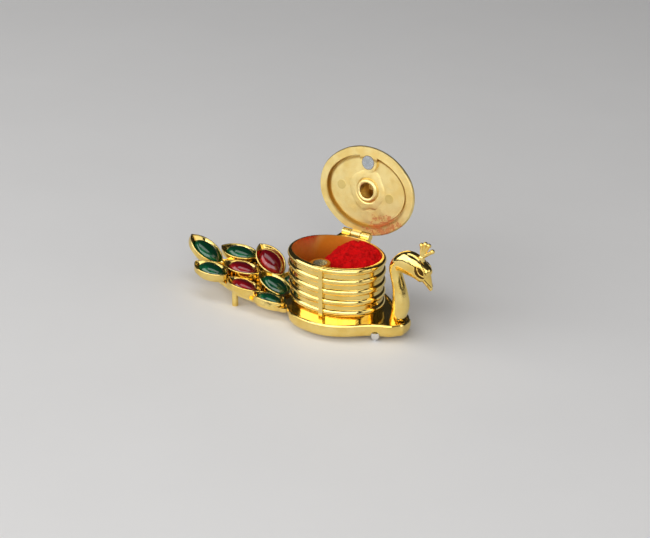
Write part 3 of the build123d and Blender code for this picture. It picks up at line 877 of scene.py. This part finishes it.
def leaf_path(ahead: float, behind: float, half: float, height: float, steps: int = 24) -> list[Vector]:
    """Points round a leaf outline at a height, closer together at its two tips.

    Args:
        ahead: length from the middle to the tip.
        behind: length from the middle to the root.
        half: half width at the middle.
        height: height of the points.
        steps: steps along one side.

    Returns:
        The points, from the tip along the left side to the root and back along the right side.
    """
    middle = (ahead - behind) / 2
    reach = (ahead + behind) / 2
    places = [middle + reach * math.cos(math.pi * step / steps) for step in range(steps + 1)]
    left = [Vector((x, leaf_half(x, ahead, behind, half), height)) for x in places]
    right = [Vector((v.x, -v.y, height)) for v in reversed(left[1:-1])]
    return left + right


@dataclass
class Tail:
    """Nine foil-backed stones in leaf bezels with rolled rims; lengths are in millimetres."""

    stones: dict[str, Slot]
    girdle: float = 1.5
    shrink: float = 0.05
    back_lift: float = 0.02
    tip_merge: float = 0.002
    swell_power: float = 0.7
    thin_power: int = 3
    along: int = 40
    over: int = 18
    tip: str = "leaf_stone_tip_mid"
    rim_out: float = 1.0
    rim_slender: float = 1.3
    rim_up: float = 2.62
    rim_radius: float = 0.34
    rim_point: float = 0.6
    tip_point: float = 1.05

    def build(self, finishes: dict[Slot, Material]) -> None:
        """Build a smooth cabochon and a rolled rim for every CAD stone.

        Args:
            finishes: the finish of each slot.
        """
        for node, slot in self.stones.items():
            self.stone(node, finishes[slot])
            self.rim(node, finishes[Slot.TAIL])

    def rim(self, node: str, material: Material) -> None:
        """Roll the edge of one bezel.

        Args:
            node: the CAD stone in the bezel.
            material: finish of the rim.
        """
        seat = LeafSeat.of(node)
        behind = seat.long / 2 + self.rim_out * self.rim_slender
        ahead = behind + (self.tip_point if node == self.tip else self.rim_point)
        mesh = bmesh.new()
        tube(mesh, leaf_path(ahead, behind, seat.wide / 2 + self.rim_out, self.rim_up), self.rim_radius)
        closed(mesh)
        bmesh.ops.transform(mesh, matrix=seat.matrix(), verts=mesh.verts)
        finished(mesh, node.replace("leaf_stone", "leaf_rim"), Body.BASE, material)

    def stone(self, node: str, material: Material) -> None:
        """Build one cabochon: a grid drawn into a leaf, domed, with a girdle and a flat back.

        Args:
            node: the CAD stone that it stands for.
            material: its finish.
        """
        seat = LeafSeat.of(node)
        half_long = seat.long / 2 - self.shrink
        half_wide = seat.wide / 2 - self.shrink
        rise = seat.deep - self.girdle
        mesh = bmesh.new()
        bmesh.ops.create_grid(mesh, x_segments=self.along, y_segments=self.over, size=1.0)
        # thin runs from the middle to the edge; the stone finish paints its brighter edge from it, partly as
        # painted light
        thin = mesh.verts.layers.float.new("thin")
        for vert in mesh.verts:
            u, v = vert.co.x, vert.co.y
            x = half_long * math.sin(u * math.pi / 2)
            half = leaf_half(x, half_long, half_long, half_wide)
            swell = (half / half_wide) ** self.swell_power
            side = math.sin(v * math.pi / 2)
            dome = rise * swell * math.sqrt(max(0.0, 1 - side * side))
            vert.co = Vector((x, half * side, self.girdle + dome))
            vert[thin] = max(abs(side), abs(u) ** self.thin_power)
        for vert in skirted(mesh):
            vert.co.z = self.back_lift
            vert[thin] = 1.0
        merged(mesh, self.tip_merge)
        filled(mesh)
        closed(mesh)
        bmesh.ops.transform(mesh, matrix=seat.matrix(), verts=mesh.verts)
        piece = finished(mesh, f"{node}_cabochon", Body.BASE, material)
        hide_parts(node)


@dataclass
class Heap:
    """Heap of kumkum powder in the cup, as an even grid drawn into the cup's oval and then lumped.

    Lengths are in millimetres from the cup's axis; heights in top and swell are from the rim. The boss has
    the place of its axis, its radius and the height over the table that the powder keeps under it.
    """

    half_long: float = 17.2
    half_wide: float = 13.15
    draft: float = 0.45
    floor: float = 7.35
    toe: float = 0.15
    top: Vector = Vector((8.0, 9.0, 0.35))
    crown: float = 38.0
    swell: Vector = Vector((1.5, 9.0, 0.6))
    swell_reach: float = 5.0
    ridge_back: Vector = Vector((-3.2, 12.0, 0.0))
    ridge_front: Vector = Vector((-1.4, -9.0, 0.0))
    ridge_drop: float = 0.2
    ridge_blend: float = 0.8
    slope: float = 52.0
    highest: float = 0.9
    wall_slope: float = 0.8
    under_rim: float = 0.1
    boss: tuple[float, float, float] = (-10.8, 3.75, 22.0)
    cells: int = 170
    coarse: Relief = Relief(rise=1.0, pitch=0.34, falloff=0.9, gap=2.1, octaves=4)
    fine: Relief = Relief(rise=0.14, pitch=1.9, falloff=0.7, gap=2.2, octaves=4)
    relief_level: float = 3.7
    relief_sink: float = 0.2
    crumbs: int = 150
    crumb_seed: int = 11
    crumb_reach: float = 0.93
    crumb_sizes: Point = (0.10, 0.30)
    crumb_tilt: float = 3.0
    crumb_wide: Point = (0.6, 1.0)
    crumb_high: Point = (0.5, 0.9)

    def height(self, x: float, y: float) -> float:
        """Height of the bare heap: a broad dome that falls away in front of a ridge.

        Args:
            x: place along the cup from its axis.
            y: place across the cup from its axis.

        Returns:
            The height over the table.
        """
        rim = RIM / MM
        away = (x - self.top.x) ** 2 + (y - self.top.y) ** 2
        dome = rim + self.top.z - self.crown + math.sqrt(self.crown**2 - away)
        near = ((x - self.swell.x) ** 2 + (y - self.swell.y) ** 2) / self.swell_reach**2
        dome += self.swell.z * math.exp(-near)
        ridge = (self.ridge_front - self.ridge_back).normalized()
        out = Vector((ridge.y, -ridge.x, 0.0)).dot(Vector((x, y, 0.0)) - self.ridge_back)
        fall = rim - self.ridge_drop - out * math.tan(math.radians(self.slope))
        meet = max(0.0, 1 - abs(dome - fall) / (2 * self.ridge_blend))
        return min(dome, fall) - self.ridge_blend * meet * meet / 2

    def lumps(self, x: float, y: float) -> float:
        """Height of the lumps of loose powder at a place from the cup's axis."""
        place = Vector((x, y, self.relief_level))
        return self.coarse.at(place) + self.fine.at(place) - self.relief_sink

    def settle(self, place: Vector, reach: float) -> None:
        """Keep a point of the surface under the lid, inside the wall and below the magnet boss.

        Args:
            place: the point; it is moved.
            reach: its share of the way from the axis to the wall.
        """
        rim = RIM / MM
        spare = (1 - reach) * self.half_wide * self.wall_slope
        place.z = min(place.z, rim + min(self.highest, spare) - self.under_rim)
        drawn = 1 - self.draft / self.half_long * (rim - place.z) / (rim - self.floor)
        place.x *= drawn
        place.y *= drawn
        boss_y, boss_r, boss_low = self.boss
        if math.hypot(place.x, max(0.0, place.y - boss_y)) < boss_r:
            place.z = min(place.z, boss_low)

    def surface(self, x: float, y: float) -> Vector:
        """Point of the lumpy surface.

        Args:
            x: place along the cup from its axis.
            y: place across the cup from its axis.

        Returns:
            The settled point.
        """
        place = Vector((x, y, self.height(x, y) + self.lumps(x, y)))
        self.settle(place, min(1.0, math.hypot(x / self.half_long, y / self.half_wide)))
        return place

    def build(self, material: Material) -> None:
        """Build the heap with crumbs on it and put it in place of the CAD solid.

        Args:
            material: the powder's finish.
        """
        mesh = bmesh.new()
        bmesh.ops.create_grid(mesh, x_segments=self.cells, y_segments=self.cells, size=1.0)
        for vert in mesh.verts:
            u, v = vert.co.x, vert.co.y
            vert.co = self.surface(
                self.half_long * u * math.sqrt(1 - v * v / 2), self.half_wide * v * math.sqrt(1 - u * u / 2)
            )
        bare = [vert for vert in mesh.verts if vert.co.z < self.floor + self.toe]
        bmesh.ops.delete(mesh, geom=bare, context="VERTS")
        loose = [vert for vert in mesh.verts if not vert.link_faces]
        bmesh.ops.delete(mesh, geom=loose, context="VERTS")
        for vert in skirted(mesh):
            vert.co.z = self.floor
        filled(mesh)
        closed(mesh)
        self.scatter(mesh)
        moved_to_cup(mesh)
        piece = finished(mesh, "kumkum_heap", Body.BASE, material)
        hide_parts("kumkum_powder")

    def scatter(self, mesh: BMesh) -> None:
        """Strew crumbs of powder over the heap.

        Args:
            mesh: the heap's bmesh, still measured from the cup's axis.
        """
        draw = random.Random(self.crumb_seed)
        for _ in range(self.crumbs):
            angle = draw.uniform(0, math.tau)
            reach = self.crumb_reach * math.sqrt(draw.random())
            place = self.surface(
                self.half_long * reach * math.cos(angle), self.half_wide * reach * math.sin(angle)
            )
            size = draw.uniform(*self.crumb_sizes)
            turn = Matrix.Rotation(draw.uniform(0, math.tau), 4, "Z")
            turn = turn @ Matrix.Rotation(draw.uniform(0, self.crumb_tilt), 4, "X")
            wide = size * draw.uniform(*self.crumb_wide)
            high = size * draw.uniform(*self.crumb_high)
            if place.z > self.floor + self.toe:
                laid = Matrix.Translation(place) @ turn @ Matrix.Diagonal((size, wide, high, 1.0))
                bmesh.ops.create_icosphere(mesh, subdivisions=1, radius=1.0, matrix=laid)


@dataclass
class Head:
    """Face of the peacock, laid onto the cast head: rims of the eyes, and sockets, brow and mouth lines as painted
    shade.

    Places are on the near side, in millimetres from the cup's axis; the far side mirrors them.
    """

    outward: Vector = Vector((0.503, -0.760, 0.412))
    start_out: float = 10.0
    eye: Vector = Vector((37.1, -3.2, 29.6))
    eye_way: Vector = Vector((0.66, 0.03, -0.75))
    rim_long: float = 2.15
    rim_half: float = 0.85
    rim_radius: float = 0.24
    rim_lift: float = 0.10
    socket_long: float = 2.7
    socket_half: float = 1.5
    socket_aside: float = -0.45
    socket_lift: float = 0.05
    socket_thick: float = 0.2
    socket_cells: tuple[int, int] = (28, 14)
    brow: tuple[Vector, ...] = (
        Vector((34.3, -0.2, 34.5)),
        Vector((35.6, -1.4, 33.0)),
        Vector((36.5, -1.8, 31.3)),
        Vector((38.2, -2.3, 29.9)),
        Vector((39.0, -2.5, 28.5)),
    )
    mouth: tuple[Vector, ...] = (
        Vector((37.9, -1.7, 26.0)),
        Vector((38.9, -1.0, 24.5)),
        Vector((39.9, -0.4, 23.2)),
    )
    line_radius: float = 0.15
    line_steps: int = 8

    def laid(self, place: Vector, lift: float) -> Vector:
        """Lay a point onto the cast head from outside.

        Args:
            place: the point.
            lift: how far it stays off the head.

        Returns:
            Its place on the head, or the point itself where it misses the head.
        """
        axis = Vector((CUP_AXIS.x, CUP_AXIS.y, 0.0)) / MM
        start = (place + axis + self.outward * self.start_out) * MM
        found, hit, _, _ = frame["nodes"]["neck_and_head"].ray_cast(start, -self.outward)
        return hit / MM - axis + self.outward * lift if found else place

    def seat(self) -> Matrix:
        """Place the eye.

        Returns:
            Matrix from (along the eye, across it, out of the head) to millimetres from the cup's axis.
        """
        along = self.eye_way.normalized()
        out = (self.outward - along * self.outward.dot(along)).normalized()
        turned = Matrix((along, out.cross(along), out)).transposed().to_4x4()
        return Matrix.Translation(self.eye) @ turned

    def socket(self, mesh: BMesh) -> None:
        """Add the thin almond shell that carries the painted shade in an eye's socket.

        Args:
            mesh: the bmesh that it is added to.
        """
        wide, high = self.socket_cells
        bmesh.ops.create_grid(mesh, x_segments=wide, y_segments=high, size=1.0)
        seat = self.seat()
        for vert in mesh.verts:
            x = vert.co.x * self.socket_long
            half = leaf_half(x, self.socket_long, self.socket_long, self.socket_half)
            y = vert.co.y * half + self.socket_aside
            vert.co = self.laid(seat @ Vector((x, y, 0.0)), self.socket_lift)
        merged(mesh)
        bmesh.ops.solidify(mesh, geom=mesh.faces[:], thickness=self.socket_thick)

    def rim(self, mesh: BMesh) -> None:
        """Add the rolled almond rim of an eye.

        Args:
            mesh: the bmesh that it is added to.
        """
        seat = self.seat()
        path = leaf_path(self.rim_long, self.rim_long, self.rim_half, 0.0)
        tube(mesh, [self.laid(seat @ place, self.rim_lift) for place in path], self.rim_radius)

    def line(self, mesh: BMesh, points: Sequence[Vector]) -> None:
        """Add a thin line laid onto the head, which wears dark gold as painted shade.

        Args:
            mesh: the bmesh that it is added to.
            points: a few points that it runs through.
        """
        path = []
        for first, second in zip(points, points[1:]):
            path.extend(first.lerp(second, step / self.line_steps) for step in range(self.line_steps))
        laid = [self.laid(place, 0.0) for place in (*path, points[-1])]
        tube(mesh, laid, self.line_radius, loop=False)

    def build(self, gold: Material, dark: Material) -> None:
        """Build the face on both sides.

        Args:
            gold: finish of the rims.
            dark: painted shade on the sockets and lines.
        """
        # The sockets and the brow and mouth lines are dark gold: painted shade
        makers = (
            ("eye_socket_shade", self.socket, dark),
            ("eye_rim", self.rim, gold),
            ("brow_shade_line", partial(self.line, points=self.brow), dark),
            ("mouth_shade_line", partial(self.line, points=self.mouth), dark),
        )
        for name, make, material in makers:
            for side, label in ((1, "near"), (-1, "far")):
                mesh = bmesh.new()
                make(mesh)
                bmesh.ops.scale(mesh, vec=(1.0, side, 1.0), verts=mesh.verts)
                moved_to_cup(mesh)
                closed(mesh)
                finished(mesh, f"{name}_{label}", Body.BASE, material)


@dataclass
class Lid:
    """Marks on the underside of the open lid: a cast mound, two raised discs and a dark line round the magnet.

    Places are (along the hinge from the cup's axis, out from the hinge), and the mound's section is (distance
    from its middle, height), all in millimetres.
    """

    panel: float = 1.15
    discs: tuple[Point, ...] = ((-11.3, 17.0), (9.4, 15.8))
    disc_sides: int = 36
    disc_radius: float = 1.75
    disc_rise: float = 0.09
    disc_edge: float = 0.04
    disc_margin: float = 0.12
    corner_angle: float = 1.0
    cap_upright: float = 0.99
    mound: tuple[Point, ...] = ((4.3, -0.1), (4.3, 0.16), (5.2, 0.17), (6.4, 0.10), (7.4, 0.02), (7.8, -0.1))
    mound_out: float = 17.0
    mound_steps: int = 72
    mound_even: float = 0.5
    mound_wave: Relief = Relief(rise=0.25, pitch=1.1, falloff=0.9, gap=2.0, octaves=2)
    magnet_radius: float = 2.5
    magnet_thick: float = 1.5
    ring_radius: float = 0.22
    ring_sink: float = 0.21
    ring_steps: int = 48

    def frame(self) -> Matrix:
        """Place the open lid's underside.

        Returns:
            Matrix from (along the hinge, out from it, off the underside) to the row frame.
        """
        out = Vector((0.0, -math.cos(OPEN_ANGLE), math.sin(OPEN_ANGLE)))
        along = Vector((1.0, 0.0, 0.0))
        turned = Matrix((along, out, along.cross(out))).transposed().to_4x4()
        return Matrix.Translation(Vector((CUP_AXIS.x, HINGE.y, HINGE.z)) / MM) @ turned

    def cast_mound(self, material: Material) -> None:
        """Build the soft uneven mound that the casting leaves round the bore.

        Args:
            material: its finish.
        """
        mesh = bmesh.new()
        corners = [mesh.verts.new((radius, 0.0, height)) for radius, height in self.mound]
        edges = [mesh.edges.new(pair) for pair in zip(corners, [*corners[1:], corners[0]])]
        bmesh.ops.spin(
            mesh,
            geom=corners + edges,
            cent=(0, 0, 0),
            axis=(0, 0, 1),
            angle=math.tau,
            steps=self.mound_steps,
            use_merge=True,
        )
        inner, outer = self.mound[0][0], self.mound[-1][0]
        for vert in mesh.verts:
            reach = math.hypot(vert.co.x, vert.co.y)
            share = max(0.0, (reach - inner - self.mound_even) / (outer - inner))
            grown = 1 + share * self.mound_wave.at(vert.co.normalized())
            vert.co.x *= grown
            vert.co.y *= grown
        closed(mesh)
        place = self.frame() @ Matrix.Translation((0.0, self.mound_out, -self.panel))
        bmesh.ops.transform(mesh, matrix=place, verts=mesh.verts)
        finished(mesh, "lid_cast_mound", Body.LID, material)

    def magnet_ring(self, material: Material) -> None:
        """Lay a dark line round the magnet's face.

        Args:
            material: its finish.
        """
        turned = self.frame().to_3x3()
        face = Vector((0.0, 0.0, self.magnet_thick / 2 - self.ring_sink))
        middle = node_centre("lid_magnet") / MM + turned @ face
        path = []
        for step in range(self.ring_steps):
            angle = math.tau * step / self.ring_steps
            edge = Vector((math.cos(angle), math.sin(angle), 0.0)) * self.magnet_radius
            path.append(middle + turned @ edge)
        mesh = bmesh.new()
        tube(mesh, path, self.ring_radius)
        closed(mesh)
        finished(mesh, "lid_magnet_ring", Body.LID, material)

    def disc(self, name: str, place: Point, material: Material) -> None:
        """Build one low disc with a softened edge.

        Args:
            name: the disc's name.
            place: its middle.
            material: its finish.
        """
        mesh = bmesh.new()
        bmesh.ops.create_cone(
            mesh,
            cap_ends=True,
            segments=self.disc_sides,
            radius1=self.disc_radius,
            radius2=self.disc_radius,
            depth=2 * self.disc_rise,
            matrix=Matrix.Translation((*place, -self.panel)),
        )
        joined = [edge for edge in mesh.edges if len(edge.link_faces) == 2]
        edges = [edge for edge in joined if edge.calc_face_angle() > self.corner_angle]
        bmesh.ops.bevel(
            mesh, geom=edges, offset=self.disc_edge, affect="EDGES", segments=2, profile=0.5, material=-1
        )
        caps = [face for face in mesh.faces if abs(face.normal.z) > self.cap_upright]
        bmesh.ops.inset_region(mesh, faces=caps, thickness=self.disc_margin, use_boundary=True)
        closed(mesh)
        bmesh.ops.transform(mesh, matrix=self.frame(), verts=mesh.verts)
        finished(mesh, name, Body.LID, material)

    def build(self, gold: Material, dull: Material, dark: Material) -> None:
        """Build the mound, the dark line round the magnet and the discs.

        Args:
            gold: finish of the mound.
            dull: finish of the discs.
            dark: finish of the dark line round the magnet.
        """
        self.cast_mound(gold)
        self.magnet_ring(dark)
        for number, place in enumerate(self.discs, 1):
            self.disc(f"lid_disc_{number}", place, dull)


@dataclass(frozen=True)
class Softbox:
    """Soft area light: azimuths of its sides, elevations of its lower and upper edge, and brightness."""

    name: str
    bearing: Point
    height: Point
    glow: float


@dataclass
class Studio:
    """Pale floor, soft lights and the camera at the photographed angle; lengths are in millimetres."""

    azimuth: float = 33.5
    elevation: float = 24.35
    distance: float = 720.0
    focal_pixels: float = 2000.0
    frame_pixels: Point = (650.0, 538.0)
    aim_pixel: Point = (336.9, 251.5)
    sensor: float = 36.0
    clip: Point = (10.0, 20000.0)
    floor_size: float = 4000.0
    floor_gap: float = 0.05
    floor_colour: Colour = (0.80, 0.79, 0.78)
    floor_light: Colour = (0.84, 0.83, 0.82)
    floor_cloud: float = 60.0
    floor_rough: float = 0.6
    light_reach: float = 1300.0
    softboxes: tuple[Softbox, ...] = (
        Softbox("left_softbox", (-73.0, -21.0), (8.0, 48.0), 2.4),
        Softbox("front_softbox", (-16.0, 50.0), (8.0, 46.0), 2.6),
        Softbox("right_softbox", (70.0, 110.0), (6.0, 40.0), 1.1),
        Softbox("top_softbox", (-30.0, 30.0), (72.0, 96.0), 1.7),
    )
    surround: Colour = (0.03, 0.03, 0.032)

    def way(self, azimuth: float, elevation: float) -> Vector:
        """Direction from the object to a viewer at an azimuth and elevation in degrees."""
        a, e = math.radians(azimuth), math.radians(elevation)
        return Vector((math.sin(a) * math.cos(e), -math.cos(a) * math.cos(e), math.sin(e)))

    def camera(self) -> None:
        """Place the camera so that the cup's rim falls on its pixel of the photograph."""
        data = bpy.data.cameras.new("photo_camera")
        width, height = self.frame_pixels
        data.sensor_width = self.sensor
        data.lens = self.sensor * self.focal_pixels / width
        data.shift_x = (width / 2 - self.aim_pixel[0]) / width
        data.shift_y = (self.aim_pixel[1] - height / 2) / width
        data.clip_start, data.clip_end = (length * MM for length in self.clip)
        camera = bpy.data.objects.new("photo_camera", data)
        bpy.context.scene.collection.objects.link(camera)
        back = self.way(self.azimuth, self.elevation)
        camera.location = Vector((CUP_AXIS.x, CUP_AXIS.y, RIM)) + back * self.distance * MM
        camera.rotation_mode = "QUATERNION"
        camera.rotation_quaternion = (-back).to_track_quat("-Z", "Y")
        bpy.context.scene.camera = camera

    def floor(self) -> None:
        """Lay the pale floor just under the feet."""
        mesh = bmesh.new()
        bmesh.ops.create_grid(mesh, x_segments=2, y_segments=2, size=self.floor_size * MM / 2)
        bmesh.ops.translate(mesh, verts=mesh.verts, vec=(0, 0, -self.floor_gap * MM))
        data = bpy.data.meshes.new("floor")
        mesh.to_mesh(data)
        mesh.free()
        material, wiring, shader = new_material("pale_floor")
        cloud = wiring.cloud(wiring.place(), self.floor_cloud, detail=3.0)
        colour = wiring.mix(cloud, self.floor_colour, self.floor_light)
        wiring.feed(shader, Base_Color=colour, Roughness=self.floor_rough)
        data.materials.append(material)
        floor = bpy.data.objects.new("floor", data)
        bpy.context.scene.collection.objects.link(floor)

    def hang(self, box: Softbox) -> None:
        """Hang a softbox that faces the object.

        Args:
            box: the softbox.
        """
        data = bpy.data.lights.new(box.name, "AREA")
        data.shape = "RECTANGLE"
        half_wide = math.radians(box.bearing[1] - box.bearing[0]) / 2
        half_high = math.radians(box.height[1] - box.height[0]) / 2
        reach = self.light_reach * MM
        data.size, data.size_y = 2 * reach * math.tan(half_wide), 2 * reach * math.tan(half_high)
        data.energy = box.glow * math.pi * data.size * data.size_y
        light = bpy.data.objects.new(box.name, data)
        light.visible_camera = False
        bpy.context.scene.collection.objects.link(light)
        back = self.way(sum(box.bearing) / 2, sum(box.height) / 2)
        light.location = Vector((CUP_AXIS.x, CUP_AXIS.y, 0.0)) + back * reach
        light.rotation_mode = "QUATERNION"
        light.rotation_quaternion = (-back).to_track_quat("-Z", "Y")

    def lights(self) -> None:
        """Hang the softboxes and set a dim even surround."""
        for box in self.softboxes:
            self.hang(box)
        world = bpy.data.worlds.new("dim_room")
        world.use_nodes = True
        world.node_tree.nodes["Background"].inputs["Color"].default_value = (*self.surround, 1.0)
        bpy.context.scene.world = world
        bpy.context.scene.view_settings.view_transform = "Standard"

    def build(self) -> None:
        """Set up floor, lights and camera."""
        self.floor()
        self.lights()
        self.camera()


GREEN_LEAVES = ("root_mid", "root_near", "root_far", "tip_mid", "tip_near", "tip_far")
RUBY_LEAVES = ("middle_mid", "middle_near", "middle_far")


def dress(finishes: dict[Slot, Material]) -> None:
    """Give every CAD node the finish of its slot.

    Args:
        finishes: the finish of each slot.
    """
    for entry in frame["record"]["subparts"]:
        slot = Slot(entry["material_slot"])
        piece = frame["nodes"][entry["node"]]
        piece.data.materials.clear()
        piece.data.materials.append(finishes[slot])
        LOG.info("node %s wears %s", piece.name, slot.value)


def main() -> None:
    """Build the finishes, the new pieces and the studio."""
    logging.basicConfig(level=logging.INFO, format="%(name)s %(message)s")
    finishes = {
        Slot.GOLD: GoldFinish("polished_gold").make(),
        Slot.CUP: CupFinish("cup_gold").make(),
        Slot.LID: LidFinish(
            "lid_gold",
            light=(0.95, 0.76, 0.33),
            deep=(0.90, 0.66, 0.23),
            polish=(0.30, 0.42),
            grain=0.5,
            relief=0.15,
        ).make(),
        Slot.TAIL: GoldFinish("tail_gold").make(),
        Slot.MAGNET: MetalFinish(
            "magnet_nickel", (0.52, 0.55, 0.58), (0.36, 0.39, 0.42), (0.22, 0.42), grain=0.6, relief=0.10
        ).make(),
        Slot.NICKEL: MetalFinish("bright_nickel", (0.80, 0.80, 0.80), (0.62, 0.62, 0.62), (0.08, 0.2)).make(),
        Slot.STEEL: MetalFinish("screw_steel", (0.55, 0.55, 0.56), (0.40, 0.40, 0.42), (0.25, 0.4)).make(),
        Slot.GREEN: StoneFinish("green_stone", (0.0, 0.040, 0.014), (0.004, 0.17, 0.06)).make(),
        Slot.RUBY: StoneFinish("ruby_stone", (0.14, 0.0, 0.004), (0.50, 0.008, 0.010)).make(),
        Slot.KUMKUM: PowderFinish("kumkum_powder_red").make(),
    }
    # dark_gold is painted shade on the eye sockets and the brow and mouth lines; it also draws the dark ring round
    # the lid's magnet
    dark = GoldFinish(
        "dark_gold", light=(0.20, 0.10, 0.02), deep=(0.10, 0.05, 0.01), polish=(0.3, 0.45)
    ).make()
    dull = GoldFinish(
        "disc_gold", light=(0.78, 0.60, 0.22), deep=(0.68, 0.50, 0.15), polish=(0.34, 0.46), grain=0.5
    ).make()
    dress(finishes)
    stones = {f"leaf_stone_{leaf}": Slot.GREEN for leaf in GREEN_LEAVES}
    stones.update({f"leaf_stone_{leaf}": Slot.RUBY for leaf in RUBY_LEAVES})
    Tail(stones).build(finishes)
    Heap().build(finishes[Slot.KUMKUM])
    Head().build(finishes[Slot.GOLD], dark)
    Lid().build(finishes[Slot.LID], dull, dark)
    Studio().build()


if __name__ == "__main__":
    main()
